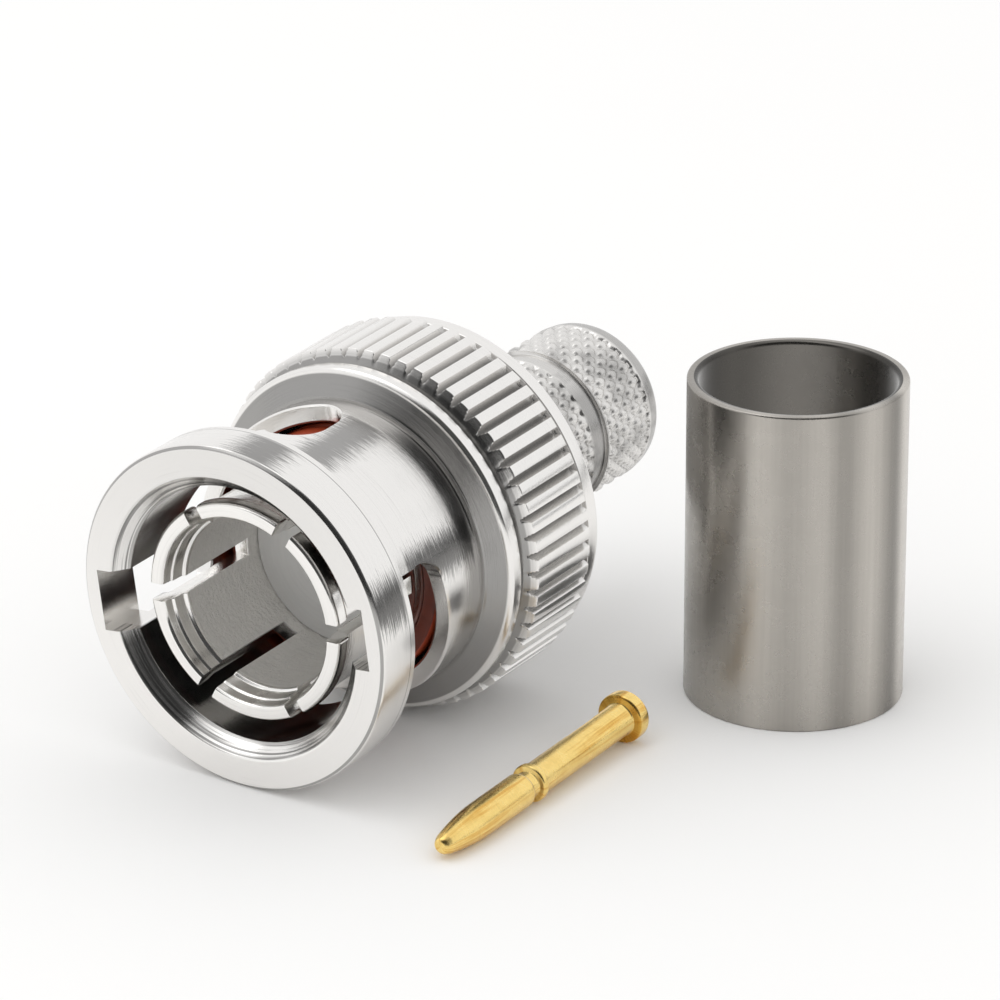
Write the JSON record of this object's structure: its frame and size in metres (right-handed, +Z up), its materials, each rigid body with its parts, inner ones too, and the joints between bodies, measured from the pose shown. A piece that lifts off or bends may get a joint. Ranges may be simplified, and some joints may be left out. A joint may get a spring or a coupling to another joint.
{
  "type": "bayonet coaxial crimp plug",
  "caption": "Coaxial bayonet crimp plug with a slotted outer contact and a knurled turning nut, its loose contact pin and its crimp ferrule.",
  "frame": {"origin": "on the floor, under the middle of the set's box", "axes": "+X out of the plug's mating end, +Z up, along the standing ferrule's axis; the plug's own axis dips by 2.68 degrees towards +X, because it lies on the nut's edges"},
  "size_m": [0.0242, 0.0228, 0.0142],
  "materials": {
    "nickel_nut": "bright nickel plate on turned brass, with fine turning marks",
    "nickel_body": "nickel plate on turned brass, satin",
    "nickel_stem": "nickel plate on turned brass, knurled",
    "spring_steel": "plain spring steel",
    "red_gasket": "smooth red-brown silicone rubber",
    "white_insulator": "turned fluoroplastic, matt white",
    "gold_contact": "gold plate, polished",
    "nickel_ferrule": "satin nickel plate on drawn copper alloy tube"
  },
  "bodies": {
    "plug": {"connector_body": "nickel_body", "crimp_stem": "nickel_stem", "insulator": "white_insulator", "gasket": "red_gasket", "retaining_ring": "spring_steel", "wave_washer": "spring_steel", "contact_pin": "gold_contact", "crimp_ferrule": "nickel_ferrule"},
    "slider": {"flat_washer": "spring_steel"},
    "nut": {"coupling_nut": "nickel_nut"}
  },
  "joints": [
    {"name": "nut_slide", "type": "slide", "parent": "plug", "child": "slider", "axis": [0.9989, 0, -0.0467], "range_m": [0, 0.0006], "stiffness_N_per_m": 2000, "deforming": ["wave_washer"]},
    {"name": "nut_spin", "type": "hinge", "parent": "slider", "child": "nut", "pos_m": [0.00078, -0.00439, 0.00711], "axis": [0.9989, 0, -0.0467], "continuous": true}
  ]
}
